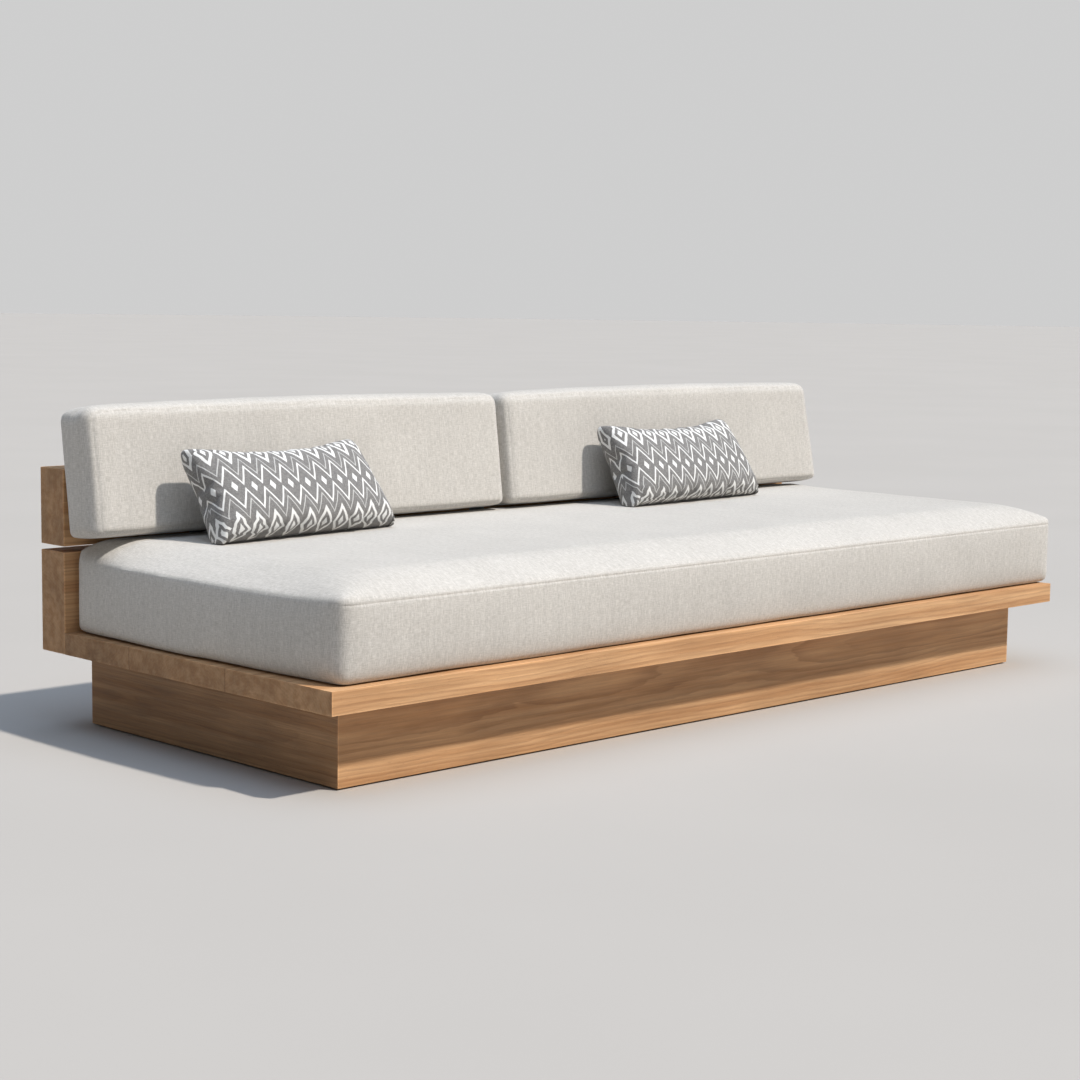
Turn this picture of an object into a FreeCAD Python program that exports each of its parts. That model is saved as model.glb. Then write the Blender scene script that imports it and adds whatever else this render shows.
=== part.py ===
import FreeCAD, Part
import os
import re
import Sketcher

# A platform daybed: a mitred plinth under a deck of three planks, a back of two
# thick boards one above the other, and loose cushions. Lengths are in
# millimetres and angles in degrees. X runs along the length, the front faces
# -Y and Z is up. The origin is under the middle of the whole daybed.

DIMENSIONS = {
    # frame, overall
    "deck_length": 2400,
    "deck_depth": 1000,
    "deck_thickness": 47,
    "plinth_height": 165,
    "plinth_inset": 76,
    "edge_ease": 2,
    "joint_ease": 0.6,
    "running_gap": 0.1,
    # plinth
    "plinth_board": 28,
    "floor_gap": 3,
    "block_size": 60,
    "block_cut": 20,
    "bearer_width": 45,
    "bearer_pitch": 600,
    "cleat_width": 30,
    "cleat_height": 35,
    "foot_thickness": 6,
    "foot_diameter": 40,
    "foot_bearer_y": 300,
    # deck joints
    "spline_width": 30,
    "spline_thickness": 8,
    "spline_end_margin": 60,
    "dowel_diameter": 12,
    "dowel_length": 80,
    "dowel_pitch": 300,
    # back
    "back_thickness": 90,
    "lower_back_rise": 174,
    "back_gap": 13,
    "upper_back_height": 166,
    "station_pitch": 850,
    "spacer_length": 50,
    "spacer_width": 60,
    "bracket_width": 50,
    "bracket_thickness": 6,
    "bracket_foot": 340,
    "bracket_rise": 328,
    # screws
    "screw_diameter": 5,
    "screw_head": 10,
    "bracket_screw_length": 40,
    "deck_screw_length": 60,
    "pan_head_height": 3,
    "deck_screw_pitch": 600,
    "deck_screw_end_y": 250,
    "foot_screw_length": 22,
    # soft goods
    "rest_gap": 0.3,
    "cover_thickness": 3,
    "fill_gap": 0.5,
    "zip_width": 8,
    "zip_pull_length": 24,
    "zip_pull_thickness": 1.5,
    "zip_margin": 150,
    "rest_zip_level": 60,
    "pillow_zip_margin": 90,
    "seat_left_inset": 35,
    "seat_overhang": 12,
    "seat_front_inset": 10,
    "seat_rear_gap": 6,
    "seat_thickness": 205.7,
    "seat_corner": 35,
    "seat_top_round": 40,
    "seat_bottom_round": 15,
    "rest_length": 1192,
    "rest_thickness": 124,
    "rest_top": 706,
    "rest_lean": 7.5,
    "rest_round": 18,
    "rest_between": 4,
    "pillow_width": 540,
    "pillow_height": 214,
    "pillow_thickness": 92,
    "pillow_round": 40,
    "pillow_tilt": 20,
    "pillow_left_x": -744,
    "pillow_left_y": 152,
    "pillow_left_turn": 5.5,
    "pillow_right_x": 544,
    "pillow_right_y": 165,
    "pillow_right_turn": 3.8,
}

DERIVED = {
    "half_length": "deck_length / 2",
    "half_depth": "deck_depth / 2",
    "deck_top": "plinth_height + deck_thickness",
    "plinth_length": "deck_length - 2 * plinth_inset",
    "plinth_depth": "deck_depth - 2 * plinth_inset",
    "inside_x": "plinth_length / 2 - plinth_board",
    "inside_y": "plinth_depth / 2 - plinth_board",
    "block_height": "plinth_height - foot_thickness",
    "cleat_bottom": "plinth_height - cleat_height",
    "cleat_x": "inside_x - cleat_width / 2",
    "cleat_y": "inside_y - cleat_width / 2",
    "foot_x": "inside_x - block_size / 2",
    "foot_y": "inside_y - block_size / 2",
    "joint_y": "deck_depth / 6",
    "back_front": "half_depth - back_thickness",
    "back_middle": "half_depth - back_thickness / 2",
    "lower_back_top": "deck_top + lower_back_rise",
    "upper_back_bottom": "lower_back_top + back_gap",
    "upper_back_top": "upper_back_bottom + upper_back_height",
    "tongue_z": "deck_thickness / 2",
    "bracket_bottom": "deck_top - bracket_thickness",
    "bracket_top": "bracket_bottom + bracket_rise",
    "bracket_front": "back_front - bracket_foot",
    "bracket_back": "back_front + bracket_thickness",
    "deck_screw_bite": "deck_screw_length - cleat_height",
    "seat_bottom": "deck_top + rest_gap",
    "seat_top": "seat_bottom + seat_thickness",
    "seat_length": "deck_length - seat_left_inset + seat_overhang",
    "seat_left": "seat_left_inset - half_length",
    "seat_front": "seat_front_inset - half_depth",
    "seat_depth": "back_front - seat_rear_gap - seat_front",
    "soft_floor": "seat_top + rest_gap",
    "rest_slope": "tan(rest_lean * 1deg)",
    "rest_back_at_zero": "back_front - 2 * rest_gap - upper_back_top * rest_slope",
    "rest_back_bottom": "rest_back_at_zero + soft_floor * rest_slope",
    "rest_tilt_drop": "rest_thickness * sin(rest_lean * 1deg)",
    "rest_tilt_back": "rest_thickness * cos(rest_lean * 1deg)",
    "rest_height": "(rest_top - rest_tilt_drop - soft_floor) / cos(rest_lean * 1deg)",
    "rest_left": "-half_length - seat_overhang",
    "rest_right": "rest_left + rest_length + rest_between",
}

# Places where the same fastener, hole or joint repeats, as expressions.
STATIONS = {"left": "-station_pitch", "middle": "0", "right": "station_pitch"}
BEARERS = {"left": "-bearer_pitch", "middle": "0", "right": "bearer_pitch"}
DOWEL_XS = [f"{step} * dowel_pitch" for step in (-3.5, -2.5, -1.5, -0.5, 0.5, 1.5, 2.5, 3.5)]
EDGE_SCREW_XS = [f"{step} * deck_screw_pitch" for step in (-1.5, -0.5, 0.5, 1.5)]
END_SCREW_YS = ["-deck_screw_end_y", "0", "deck_screw_end_y"]
MIDDLE_PLANK_SCREW_Y = "bracket_front + 35"
REAR_PLANK_SCREW_YS = ["bracket_front + 140", "bracket_front + 220", "bracket_front + 300"]
LOWER_BOARD_SCREW_ZS = ["deck_top + 48", "deck_top + 138"]
UPPER_BOARD_SCREW_ZS = ["upper_back_bottom + 31", "upper_back_bottom + 111"]

doc = FreeCAD.newDocument("Daybed")
nodes = []


def make_sheet():
    """The spreadsheet with every driving dimension, one named cell each."""
    sheet = doc.addObject("Spreadsheet::Sheet", "Dims")
    for row, (name, value) in enumerate(DIMENSIONS.items(), start=1):
        sheet.set(f"A{row}", name)
        sheet.set(f"B{row}", str(value))
        sheet.setAlias(f"B{row}", name)
    doc.recompute()


def bound(text):
    """An expression on the sheet's cells, from a text in plain names."""

    def swap(match):
        word = match.group(0)
        if word in DERIVED:
            return f"({bound(DERIVED[word])})"
        if word in DIMENSIONS:
            return f"Dims.{word}"
        return word

    return re.sub(r"[a-z_]+", swap, str(text))


def place(piece, x="0", y="0", z="0", turn="0", tilt="0"):
    """Puts a piece at x, y, z, turned about Z after a tilt about X."""
    spot = f"create(<<vector>>; {bound(x)}; {bound(y)}; {bound(z)})"
    turned = f"create(<<rotation>>; {bound(turn)}; 0; {bound(tilt)})"
    piece.setExpression("Placement", f"create(<<placement>>; {spot}; {turned})")


def node(piece, label):
    """Names a finished piece, which makes it one of the exported sub-parts."""
    piece.Label = label
    nodes.append(piece)
    return piece


# ---------------------------------------------------------------- sketching


def new_body(label):
    body = doc.addObject("PartDesign::Body", "Body_" + label)
    body.AllowCompound = True
    return body


def new_sketch(body, plane, offset):
    """A sketch on one of the body's origin planes, moved along its normal."""
    sketch = body.newObject("Sketcher::SketchObject", "Sketch")
    origin = [f for f in body.Origin.OriginFeatures if f.Role == plane + "_Plane"]
    sketch.AttachmentSupport = [(origin[0], "")]
    sketch.MapMode = "FlatFace"
    sketch.setExpression(".AttachmentOffset.Base.z", bound(offset))
    return sketch


def pin_point(sketch, geometry, point, x, y):
    """Ties a point of the sketch to its two coordinates."""
    for kind, text in (("DistanceX", x), ("DistanceY", y)):
        index = sketch.addConstraint(Sketcher.Constraint(kind, geometry, point, 1.0))
        sketch.setExpression(f"Constraints[{index}]", bound(text))


def outline(body, plane, corners, offset="0"):
    """A closed sketch of straight lines through the corners."""
    sketch = new_sketch(body, plane, offset)
    count = len(corners)
    start = FreeCAD.Vector(1, 0, 0)
    turn = FreeCAD.Rotation(FreeCAD.Vector(0, 0, 1), 360 / count)
    for _ in corners:
        end = turn.multVec(start)
        sketch.addGeometry(Part.LineSegment(start, end), False)
        start = end
    for side, (x, y) in enumerate(corners):
        after = (side + 1) % count
        sketch.addConstraint(Sketcher.Constraint("Coincident", side, 2, after, 1))
        pin_point(sketch, side, 1, x, y)
    return sketch


def rectangle(body, plane, low, high, offset="0"):
    corners = [low, (high[0], low[1]), high, (low[0], high[1])]
    return outline(body, plane, corners, offset)


def circles(body, plane, centres, diameters, offset="0"):
    """A sketch of circles, each diameter round each centre."""
    sketch = new_sketch(body, plane, offset)
    for x, y in centres:
        for diameter in diameters:
            circle = Part.Circle(FreeCAD.Vector(0, 0, 0), FreeCAD.Vector(0, 0, 1), 1)
            geometry = sketch.addGeometry(circle, False)
            pin_point(sketch, geometry, 3, x, y)
            size = sketch.addConstraint(Sketcher.Constraint("Diameter", geometry, 1.0))
            sketch.setExpression(f"Constraints[{size}]", bound(diameter))
    return sketch


def pad(body, sketch, length, both_ways=False, reverse=False, flare=0):
    feature = body.newObject("PartDesign::Pad", "Pad")
    feature.Profile = sketch
    feature.setExpression("Length", bound(length))
    feature.Midplane = both_ways
    feature.Reversed = reverse
    feature.TaperAngle = flare
    return feature


def pocket(body, sketch, depth, reverse=False):
    feature = body.newObject("PartDesign::Pocket", "Pocket")
    feature.Profile = sketch
    feature.setExpression("Length", bound(depth))
    feature.Reversed = reverse
    return feature


def ease(body, radius, wanted):
    """Rounds the edges of the body's last feature whose middle is wanted."""
    doc.recompute()
    last = body.Tip
    names = []
    for index, edge in enumerate(last.Shape.Edges, start=1):
        middle = edge.valueAt((edge.FirstParameter + edge.LastParameter) / 2)
        if wanted(middle, edge):
            names.append(f"Edge{index}")
    feature = body.newObject("PartDesign::Fillet", "Fillet")
    feature.Base = (last, names)
    feature.setExpression("Radius", bound(radius))
    return feature


def along(edge, axis):
    """True if the edge is a straight one along X, Y or Z, by its length."""
    box = edge.BoundBox
    spans = {"x": box.XLength, "y": box.YLength, "z": box.ZLength}
    return spans.pop(axis) > 1 and max(spans.values()) < 1e-6


def block(label, low, high):
    """A plain body between two corners."""
    body = new_body(label)
    sketch = rectangle(body, "XY", low[:2], high[:2], low[2])
    pad(body, sketch, f"({high[2]}) - ({low[2]})")
    return body


# ------------------------------------------------------------------- plinth


def mitred_board(label, length, x, y, turn):
    """A plinth board standing on edge, its outer face at its own Y of zero."""
    body = new_body(label)
    corners = [
        ("0", "0"),
        (length, "0"),
        (f"{length} - plinth_board", "plinth_board"),
        ("plinth_board", "plinth_board"),
    ]
    pad(body, outline(body, "XY", corners), "plinth_height - floor_gap")
    ease(body, "edge_ease", lambda p, e: along(e, "x") and abs(p.y) + abs(p.z) < 1e-6)
    place(body, x, y, "floor_gap", turn)
    node(body, label)


def corner_block(label, x_side, y_side, turn):
    """A glue block in a corner of the plinth, on its own foot."""
    body = new_body(label)
    corners = [
        ("0", "0"),
        ("block_size", "0"),
        ("block_size", "block_size - block_cut"),
        ("block_size - block_cut", "block_size"),
        ("0", "block_size"),
    ]
    pad(body, outline(body, "XY", corners), "block_height")
    middle = ("block_size / 2", "block_size / 2")
    hole = circles(body, "XY", [middle], ["screw_diameter + 2 * running_gap"])
    pocket(body, hole, "foot_screw_length", reverse=True)
    place(body, f"{x_side} * inside_x", f"{y_side} * inside_y", "foot_thickness", turn)
    node(body, label)


def bearer(label, x):
    """A cross member that carries the deck, notched over the long cleats."""
    body = new_body(label)
    top, step = "block_height", "block_height - cleat_height"
    corners = [
        ("-inside_y", "0"),
        ("inside_y", "0"),
        ("inside_y", step),
        ("inside_y - cleat_width", step),
        ("inside_y - cleat_width", top),
        ("cleat_width - inside_y", top),
        ("cleat_width - inside_y", step),
        ("-inside_y", step),
    ]
    pad(body, outline(body, "YZ", corners), "bearer_width", both_ways=True)
    feet = [("0", "-foot_bearer_y"), ("0", "foot_bearer_y")]
    holes = circles(body, "XY", feet, ["screw_diameter + 2 * running_gap"])
    pocket(body, holes, "foot_screw_length", reverse=True)
    place(body, x, "0", "foot_thickness")
    node(body, label)


def cleat(label, half_x, half_y, x, y, screws):
    """A batten under the deck's edge, bored for the deck screws."""
    body = block(label, (f"-({half_x})", f"-({half_y})", "0"), (half_x, half_y, "cleat_height"))
    holes = circles(body, "XY", screws, ["screw_diameter + 2 * running_gap"])
    pocket(body, holes, "cleat_height", reverse=True)
    place(body, x, y, "cleat_bottom")
    node(body, label)


def foot_places():
    corners = [(f"{x} * foot_x", f"{y} * foot_y") for x in (-1, 1) for y in (-1, 1)]
    under_bearers = [(x, f"{y} * foot_bearer_y") for x in BEARERS.values() for y in (-1, 1)]
    return corners + under_bearers


def floor_feet():
    """Round pads screwed under the corner blocks and the bearers."""
    feet = new_body("floor_feet")
    bore = "screw_diameter + 4 * running_gap"
    rings = circles(feet, "XY", foot_places(), ["foot_diameter", bore])
    pad(feet, rings, "foot_thickness")
    recess = circles(feet, "XY", foot_places(), ["screw_head + 1"])
    pocket(feet, recess, "foot_thickness / 2", reverse=True)
    node(feet, "floor_feet")
    screws = new_body("floor_feet_screws")
    head_level = "foot_thickness / 2 - running_gap"
    heads = circles(screws, "XY", foot_places(), ["screw_head"], head_level)
    pad(screws, heads, "foot_thickness / 2 - 1", reverse=True)
    shanks = circles(screws, "XY", foot_places(), ["screw_diameter"], head_level)
    pad(screws, shanks, "foot_screw_length")
    node(screws, "floor_feet_screws")


def plinth():
    half_x, half_y = "plinth_length / 2", "plinth_depth / 2"
    mitred_board("plinth_front_board", "plinth_length", f"-{half_x}", f"-{half_y}", "0")
    mitred_board("plinth_right_board", "plinth_depth", half_x, f"-{half_y}", "90")
    mitred_board("plinth_rear_board", "plinth_length", half_x, half_y, "180")
    mitred_board("plinth_left_board", "plinth_depth", f"-{half_x}", half_y, "270")
    corner_block("corner_block_front_left", "-1", "-1", "0")
    corner_block("corner_block_front_right", "1", "-1", "90")
    corner_block("corner_block_rear_right", "1", "1", "180")
    corner_block("corner_block_rear_left", "-1", "1", "270")
    for side, x in BEARERS.items():
        bearer("bearer_" + side, x)
    long_half, half_width = "inside_x - block_size", "cleat_width / 2"
    short_half = "inside_y - block_size"
    edge_screws = [(x, "0") for x in EDGE_SCREW_XS]
    end_screws = [("0", y) for y in END_SCREW_YS]
    cleat("deck_cleat_front", long_half, half_width, "0", "-cleat_y", edge_screws)
    cleat("deck_cleat_rear", long_half, half_width, "0", "cleat_y", edge_screws)
    cleat("deck_cleat_left", half_width, short_half, "-cleat_x", "0", end_screws)
    cleat("deck_cleat_right", half_width, short_half, "cleat_x", "0", end_screws)
    floor_feet()


# --------------------------------------------------------------------- deck


def deck_screw_places():
    edges = [(x, f"{side} * cleat_y") for side in (-1, 1) for x in EDGE_SCREW_XS]
    ends = [(f"{side} * cleat_x", y) for side in (-1, 1) for y in END_SCREW_YS]
    return edges + ends


def plank(label, front, back, screws, grooves, bracket_span=None, bracket_screws=()):
    """A deck plank. Its own origin is at its underside, level with the daybed's
    middle. Grooves are the sides that take a spline."""
    body = new_body(label)
    shape = rectangle(body, "XY", ("-half_length", front), ("half_length", back))
    pad(body, shape, "deck_thickness")

    def long_edge(point, edge):
        return along(edge, "x") or along(edge, "y")

    ease(body, "joint_ease", long_edge)
    tongue_end = "half_length - spline_end_margin + running_gap"
    half_tongue = "spline_width / 2 + running_gap"
    low = "tongue_z - spline_thickness / 2 - running_gap"
    for joint in grooves:
        groove = rectangle(
            body,
            "XY",
            (f"-({tongue_end})", f"{joint} - ({half_tongue})"),
            (tongue_end, f"{joint} + {half_tongue}"),
            low,
        )
        pocket(body, groove, "spline_thickness + 2 * running_gap", reverse=True)
    pilots = circles(body, "XY", screws, ["screw_diameter + 2 * running_gap"])
    pocket(body, pilots, "deck_screw_bite + 1", reverse=True)
    if bracket_span:
        for x in STATIONS.values():
            low_x, high_x = f"{x} - bracket_width / 2", f"{x} + bracket_width / 2"
            recess = rectangle(
                body, "XY", (low_x, bracket_span[0]), (high_x, bracket_span[1]), "deck_thickness"
            )
            pocket(body, recess, "bracket_thickness")
    if bracket_screws:
        spots = [(x, y) for x in STATIONS.values() for y in bracket_screws]
        pilot = circles(body, "XY", spots, ["screw_diameter + 2 * running_gap"], "deck_thickness")
        pocket(body, pilot, "bracket_screw_length + 1")
    place(body, "0", "0", "plinth_height")
    node(body, label)
    return body


def spline(label, joint):
    """A loose tongue in the joint between two planks."""
    end, half = "half_length - spline_end_margin", "spline_width / 2"
    low, high = (f"-({end})", f"-{half}", "0"), (end, half, "spline_thickness")
    body = block(label, low, high)
    place(body, "0", joint, "plinth_height + tongue_z - spline_thickness / 2")
    node(body, label)


def deck():
    edge_y, end_x = "cleat_y", "cleat_x"
    ends = {y: [(f"-{end_x}", y), (end_x, y)] for y in END_SCREW_YS}
    front_screws = [(x, f"-{edge_y}") for x in EDGE_SCREW_XS] + ends[END_SCREW_YS[0]]
    rear_screws = [(x, edge_y) for x in EDGE_SCREW_XS] + ends[END_SCREW_YS[2]]
    plank("deck_plank_front", "-half_depth", "-joint_y", front_screws, ["-joint_y"])
    plank(
        "deck_plank_middle",
        "-joint_y",
        "joint_y",
        ends[END_SCREW_YS[1]],
        ["-joint_y", "joint_y"],
        ("bracket_front", "joint_y + 1"),
        [MIDDLE_PLANK_SCREW_Y],
    )
    rear = plank(
        "deck_plank_rear",
        "joint_y",
        "back_front",
        rear_screws,
        ["joint_y"],
        ("joint_y - 1", "back_front + 1"),
        REAR_PLANK_SCREW_YS,
    )
    sockets = circles(
        rear,
        "XZ",
        [(x, "tongue_z") for x in DOWEL_XS],
        ["dowel_diameter + 2 * running_gap"],
        "-back_front",
    )
    pocket(rear, sockets, "dowel_length / 2 + 1", reverse=True)
    spline("deck_spline_front", "-joint_y")
    spline("deck_spline_rear", "joint_y")
    screws = new_body("deck_screws")
    shanks = circles(screws, "XY", deck_screw_places(), ["screw_diameter"], "cleat_bottom")
    pad(screws, shanks, "deck_screw_length")
    heads = circles(screws, "XY", deck_screw_places(), ["screw_head"], "cleat_bottom")
    pad(screws, heads, "pan_head_height", reverse=True)
    node(screws, "deck_screws")
    dowels = new_body("back_board_dowels")
    ends = circles(dowels, "XZ", [(x, "0") for x in DOWEL_XS], ["dowel_diameter"])
    pad(dowels, ends, "dowel_length", both_ways=True)
    place(dowels, "0", "back_front", "plinth_height + tongue_z")
    node(dowels, "back_board_dowels")


# --------------------------------------------------------------------- back


def back_board(label, bottom, top, recess_bottom, recess_top, screw_zs):
    """A thick board with eased edges, let in at its front for the brackets."""
    body = new_body(label)
    profile = rectangle(body, "YZ", ("back_front", bottom), ("half_depth", top))
    pad(body, profile, "deck_length", both_ways=True)
    ease(body, "edge_ease", lambda p, e: True)
    for x in STATIONS.values():
        low = (f"{x} - bracket_width / 2", recess_bottom)
        high = (f"{x} + bracket_width / 2", recess_top)
        pocket(body, rectangle(body, "XZ", low, high, "-back_front"), "bracket_thickness")
    pilots = [(x, z) for x in STATIONS.values() for z in screw_zs]
    bore = ["screw_diameter + 2 * running_gap"]
    pocket(body, circles(body, "XZ", pilots, bore, "-back_front"), "bracket_screw_length + 1")
    place(body)
    node(body, label)
    return body


def countersunk_holes(body, plane, centres, offset):
    """Through holes with a cone for a flush screw head."""
    doc.recompute()
    hole = body.newObject("PartDesign::Hole", "Hole")
    hole.Profile = circles(body, plane, centres, ["screw_diameter"], offset)
    doc.recompute()
    hole.setExpression("Diameter", bound("screw_diameter + 4 * running_gap"))
    hole.DepthType = "Dimension"
    hole.setExpression("Depth", bound("bracket_thickness + 1"))
    hole.DrillPoint = "Flat"
    hole.HoleCutType = "Countersink"
    hole.HoleCutCountersinkAngle = 90
    hole.setExpression("HoleCutDiameter", bound("screw_head + 4 * running_gap"))


def bracket(label, x):
    """An L of flat steel, flush in the deck and in the front of both boards."""
    body = new_body(label)
    corners = [
        ("bracket_front", "bracket_bottom"),
        ("bracket_back", "bracket_bottom"),
        ("bracket_back", "bracket_top"),
        ("back_front", "bracket_top"),
        ("back_front", "deck_top"),
        ("bracket_front", "deck_top"),
    ]
    pad(body, outline(body, "YZ", corners), "bracket_width", both_ways=True)
    foot = [("0", y) for y in [MIDDLE_PLANK_SCREW_Y] + REAR_PLANK_SCREW_YS]
    countersunk_holes(body, "XY", foot, "deck_top")
    leg = [("0", z) for z in LOWER_BOARD_SCREW_ZS + UPPER_BOARD_SCREW_ZS]
    countersunk_holes(body, "XZ", leg, "-back_front")
    place(body, x)
    node(body, label)


def countersunk_screws(label, plane, centres, level):
    """Screws whose heads sit just under the level, along the plane's normal."""
    body = new_body(label)
    cone = "(screw_head - screw_diameter) / 2"
    neck = f"{level} - running_gap - {cone}"
    heads = circles(body, plane, centres, ["screw_diameter"], neck)
    pad(body, heads, cone, flare=45)
    shanks = circles(body, plane, centres, ["screw_diameter"], neck)
    pad(body, shanks, f"bracket_screw_length - {cone}", reverse=True)
    node(body, label)


def back():
    lower = back_board(
        "back_board_lower",
        "plinth_height",
        "lower_back_top",
        "bracket_bottom",
        "lower_back_top + 1",
        LOWER_BOARD_SCREW_ZS,
    )
    sockets = [(x, "plinth_height + tongue_z") for x in DOWEL_XS]
    bore = ["dowel_diameter + 2 * running_gap"]
    pocket(lower, circles(lower, "XZ", sockets, bore, "-back_front"), "dowel_length / 2 + 1")
    back_board(
        "back_board_upper",
        "upper_back_bottom",
        "upper_back_top",
        "upper_back_bottom - 1",
        "bracket_top",
        UPPER_BOARD_SCREW_ZS,
    )
    for side, x in STATIONS.items():
        low = ("-spacer_length / 2", "-spacer_width / 2", "0")
        high = ("spacer_length / 2", "spacer_width / 2", "back_gap")
        spacer = block("back_spacer_" + side, low, high)
        place(spacer, x, "back_middle", "lower_back_top")
        node(spacer, "back_spacer_" + side)
        bracket("back_bracket_" + side, x)
    foot_ys = [MIDDLE_PLANK_SCREW_Y] + REAR_PLANK_SCREW_YS
    into_deck = [(x, y) for x in STATIONS.values() for y in foot_ys]
    countersunk_screws("bracket_deck_screws", "XY", into_deck, "deck_top")
    leg_zs = LOWER_BOARD_SCREW_ZS + UPPER_BOARD_SCREW_ZS
    into_boards = [(x, z) for x in STATIONS.values() for z in leg_zs]
    countersunk_screws("bracket_board_screws", "XZ", into_boards, "-back_front")


# --------------------------------------------------------------- soft goods


def shrunk(skin, depth):
    """The skin's shape, moved inwards all over by a depth."""
    inner = doc.addObject("Part::Offset", "Offset")
    inner.Source = skin
    inner.setExpression("Value", bound(f"-({depth})"))
    return inner


def box_feature(low, high):
    """A Part box between two corners of a soft piece's own frame."""
    box = doc.addObject("Part::Box", "Box")
    names = (("x", "Length"), ("y", "Width"), ("z", "Height"))
    for (axis, size), start, end in zip(names, low, high):
        box.setExpression(size, bound(f"({end}) - ({start})"))
        box.setExpression(f"Placement.Base.{axis}", bound(start))
    return box


def cut(base, tool):
    result = doc.addObject("Part::Cut", "Cut")
    result.Base = base
    result.Tool = tool
    return result


def soft_piece(name, filling, skin, zip_low, zip_high, slider, spot):
    """A cover with a closed zip in a slot, round its filling. The slider is the
    opposite corners of each block that rides on the zip's chain."""
    hollow = cut(skin, shrunk(skin, "cover_thickness"))
    cover = cut(hollow, box_feature(zip_low, zip_high))
    core = shrunk(skin, "cover_thickness + fill_gap")
    low = [f"({start}) + running_gap" for start in zip_low]
    high = [f"({end}) - running_gap" for end in zip_high]
    closure = doc.addObject("Part::MultiFuse", "Fuse")
    closure.Shapes = [box_feature(low, high)] + [box_feature(*ends) for ends in slider]
    for piece, ending in ((cover, "_cover"), (core, filling), (closure, "_zip")):
        place(piece, *spot)
        node(piece, name + ending)


def rear_zip(length, face, level):
    """Opposite corners of a zip across a rear face."""
    low = ["zip_margin", f"{face} - cover_thickness", f"{level} - zip_width / 2"]
    high = [f"{length} - zip_margin", face, f"{level} + zip_width / 2"]
    return low, high


def outer_slider(face, level):
    """A slider on a zip's chain, and a tab that hangs from it clear of the cover."""
    near, far = "zip_margin + zip_width", "zip_margin + 2 * zip_width"
    half = "zip_width / 2 - 2 * running_gap"
    proud = f"{face} + running_gap"
    out = f"{proud} + zip_pull_thickness"
    slider_low = [near, f"{face} - 2 * running_gap", f"{level} - ({half})"]
    slider_high = [far, out, f"{level} + {half}"]
    tab_low = [near, proud, f"{level} - zip_pull_length"]
    tab_high = [far, out, level]
    return [(slider_low, slider_high), (tab_low, tab_high)]


def inner_slider(face, level):
    """A slider behind a zip's chain, so that nothing stands out of the cover."""
    near, far = "zip_margin + zip_width", "zip_margin + 2 * zip_width"
    low = [near, f"{face} - cover_thickness - fill_gap / 2", f"{level} - zip_width / 4"]
    high = [far, f"{face} - cover_thickness / 2", f"{level} + zip_width / 4"]
    return [(low, high)]


def seat_mattress():
    """A boxed pad with a softly rounded top; its zip is across the rear."""
    skin = block("seat", ("0", "0", "0"), ("seat_length", "seat_depth", "seat_thickness"))
    height = DIMENSIONS["seat_thickness"]
    ease(skin, "seat_corner", lambda p, e: along(e, "z"))
    ease(skin, "seat_top_round", lambda p, e: abs(p.z - height) < 1e-6)
    ease(skin, "seat_bottom_round", lambda p, e: abs(p.z) < 1e-6)
    slot = rear_zip("seat_length", "seat_depth", "seat_thickness / 2")
    slider = outer_slider("seat_depth", "seat_thickness / 2")
    spot = ("seat_left", "seat_front", "seat_bottom")
    soft_piece("seat_mattress", "_core", skin, *slot, slider, spot)


def back_cushion(name, x):
    """A boxed cushion that stands on the mattress and leans on the back. Its
    own frame leans with it, and its underside is cut level to stand."""
    skin = new_body(name)
    corners = [
        ("0", "-rest_thickness * rest_slope"),
        ("rest_thickness", "0"),
        ("rest_thickness", "rest_height"),
        ("0", "rest_height"),
    ]
    pad(skin, outline(skin, "YZ", corners), "rest_length")
    ease(skin, "rest_round", lambda p, e: True)
    slot = rear_zip("rest_length", "rest_thickness", "rest_zip_level")
    slider = inner_slider("rest_thickness", "rest_zip_level")
    front = "rest_back_bottom - rest_tilt_back"
    spot = (x, front, "soft_floor + rest_tilt_drop", "0", "-rest_lean")
    soft_piece(name, "_core", skin, *slot, slider, spot)


def pillow(name, x, y, turn):
    """A lumbar pillow, tilted back, with a concealed zip in the bottom seam.
    Its own origin is at the middle of its bottom edge."""
    half, deep = "pillow_width / 2", "pillow_thickness / 2"
    skin = block(name, (f"-{half}", f"-{deep}", "0"), (half, deep, "pillow_height"))
    ease(skin, "pillow_round", lambda p, e: True)
    end = f"{half} - pillow_zip_margin"
    zip_low = [f"-({end})", "-zip_width / 2", "0"]
    zip_high = [end, "zip_width / 2", "cover_thickness"]
    slider_low = [f"zip_width - ({end})", "-zip_width / 4", "cover_thickness / 2"]
    slider_high = [f"2 * zip_width - ({end})", "zip_width / 4", "cover_thickness + fill_gap / 2"]
    slider = [(slider_low, slider_high)]
    reach = "pillow_thickness / 2 * sin(pillow_tilt * 1deg)"
    curl = "pillow_round * (1 - cos(pillow_tilt * 1deg) - sin(pillow_tilt * 1deg))"
    spot = (x, y, f"soft_floor + rest_gap + {reach} + {curl}", turn, "-pillow_tilt")
    soft_piece(name, "_insert", skin, zip_low, zip_high, slider, spot)


def cushions():
    seat_mattress()
    back_cushion("back_cushion_left", "rest_left")
    back_cushion("back_cushion_right", "rest_right")
    pillow("pillow_left", "pillow_left_x", "pillow_left_y", "pillow_left_turn")
    pillow("pillow_right", "pillow_right_x", "pillow_right_y", "pillow_right_turn")


# ------------------------------------------------------------------- output


def check():
    """Stops if any object failed or any sub-part has no valid solid."""
    for item in doc.Objects:
        if "Invalid" in item.State or "Error" in item.State:
            raise RuntimeError(f"{item.Label} did not recompute")
    for piece in nodes:
        shape = piece.Shape
        if shape.isNull() or not shape.isValid() or not shape.Solids:
            raise RuntimeError(f"{piece.Label} has no valid solid")


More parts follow.
